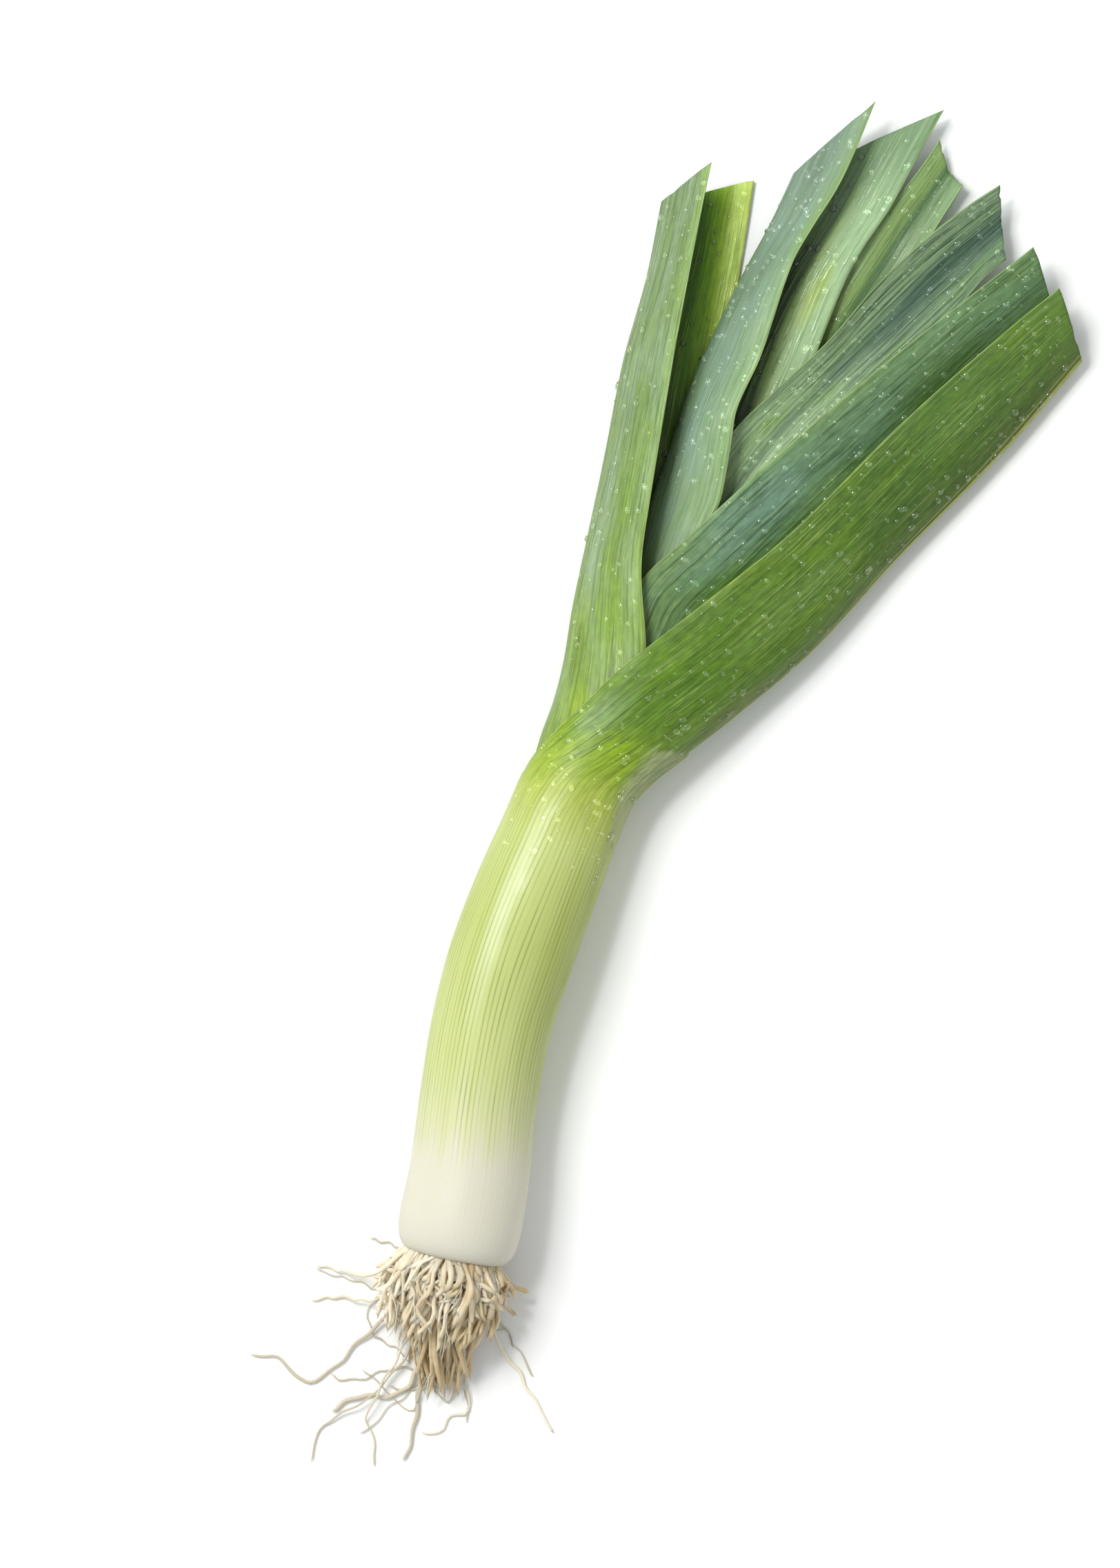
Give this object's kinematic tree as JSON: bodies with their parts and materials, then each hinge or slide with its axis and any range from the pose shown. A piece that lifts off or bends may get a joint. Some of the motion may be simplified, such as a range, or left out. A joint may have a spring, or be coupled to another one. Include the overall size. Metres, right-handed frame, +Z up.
{
  "type": "leek",
  "caption": "Trimmed leek lying on its side: a curved round shaft with a root bunch at one end and a fan of folded strap leaves at the other.",
  "frame": {"origin": "on the surface the leek lies on, under the middle of its bounding box", "axes": "+Z up from the surface; +Y along the leek's length, from the roots to the leaf tips; +X to the right as seen from above with the roots towards the viewer"},
  "size_m": [0.3045, 0.4978, 0.044],
  "materials": {
    "shaft": "satin, pale yellow-green going to white at the base, with fine lengthwise veins",
    "roots": "dull, dry, cream to straw",
    "leaf_1_right": "satin, waxy mid green with fine lengthwise veins",
    "leaf_2_left": "satin, waxy grey-green",
    "leaf_3_right": "satin, waxy blue-green",
    "leaf_4_left": "satin, waxy grey-green",
    "leaf_5_right": "satin, waxy grey-green with dark grooves",
    "leaf_6_right": "satin, waxy green"
  },
  "bodies": {
    "root": {"shaft": "shaft", "roots": "roots", "leaf_1_right": "leaf_1_right", "leaf_2_left": "leaf_2_left", "leaf_3_right": "leaf_3_right", "leaf_4_left": "leaf_4_left", "leaf_5_right": "leaf_5_right", "leaf_6_right": "leaf_6_right"}
  },
  "joints": []
}
